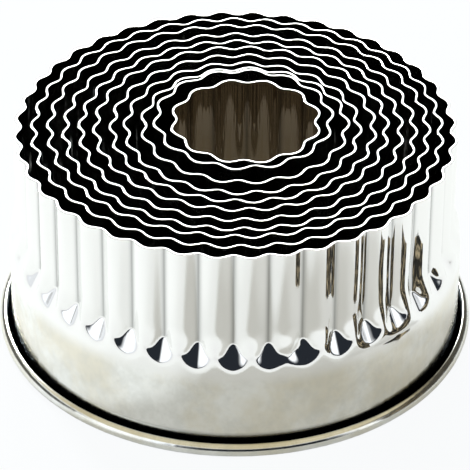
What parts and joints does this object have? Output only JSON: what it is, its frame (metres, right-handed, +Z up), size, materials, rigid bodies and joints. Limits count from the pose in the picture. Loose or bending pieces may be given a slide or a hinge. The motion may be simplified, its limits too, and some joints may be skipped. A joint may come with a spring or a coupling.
{
  "type": "biscuit cutter set",
  "caption": "Nest of fluted round stainless biscuit cutters, each a ring of sheet metal with a rolled rim, for cutting dough and pastry.",
  "frame": {"origin": "on the table, under the middle of the largest cutter's rolled rim, at the bottom centre of the nest's box", "axes": "+Z up, from the rolled rims to the cutting edges; +X to the right and +Y to the back as pictured"},
  "size_m": [0.1058, 0.1058, 0.0515],
  "materials": {
    "stainless": "polished flutes over a satin plain band"
  },
  "bodies": {
    "cutter_11": {"cutter_11": "stainless"},
    "cutter_10": {"cutter_10": "stainless"},
    "cutter_09": {"cutter_09": "stainless"},
    "cutter_08": {"cutter_08": "stainless"},
    "cutter_07": {"cutter_07": "stainless"},
    "cutter_06": {"cutter_06": "stainless"},
    "cutter_05": {"cutter_05": "stainless"},
    "cutter_04": {"cutter_04": "stainless"},
    "cutter_03": {"cutter_03": "stainless"},
    "cutter_02": {"cutter_02": "stainless"},
    "cutter_01": {"cutter_01": "stainless"}
  },
  "joints": [
    {"name": "lift_10", "type": "slide", "parent": "cutter_11", "child": "cutter_10", "axis": [0, 0, 1], "range_m": [0, 0.055]},
    {"name": "lift_09", "type": "slide", "parent": "cutter_10", "child": "cutter_09", "axis": [0, 0, 1], "range_m": [0, 0.055]},
    {"name": "lift_08", "type": "slide", "parent": "cutter_09", "child": "cutter_08", "axis": [0, 0, 1], "range_m": [0, 0.055]},
    {"name": "lift_07", "type": "slide", "parent": "cutter_08", "child": "cutter_07", "axis": [0, 0, 1], "range_m": [0, 0.055]},
    {"name": "lift_06", "type": "slide", "parent": "cutter_07", "child": "cutter_06", "axis": [0, 0, 1], "range_m": [0, 0.055]},
    {"name": "lift_05", "type": "slide", "parent": "cutter_06", "child": "cutter_05", "axis": [0, 0, 1], "range_m": [0, 0.055]},
    {"name": "lift_04", "type": "slide", "parent": "cutter_05", "child": "cutter_04", "axis": [0, 0, 1], "range_m": [0, 0.055]},
    {"name": "lift_03", "type": "slide", "parent": "cutter_04", "child": "cutter_03", "axis": [0, 0, 1], "range_m": [0, 0.055]},
    {"name": "lift_02", "type": "slide", "parent": "cutter_03", "child": "cutter_02", "axis": [0, 0, 1], "range_m": [0, 0.055]},
    {"name": "lift_01", "type": "slide", "parent": "cutter_02", "child": "cutter_01", "axis": [0, 0, 1], "range_m": [0, 0.055]}
  ]
}
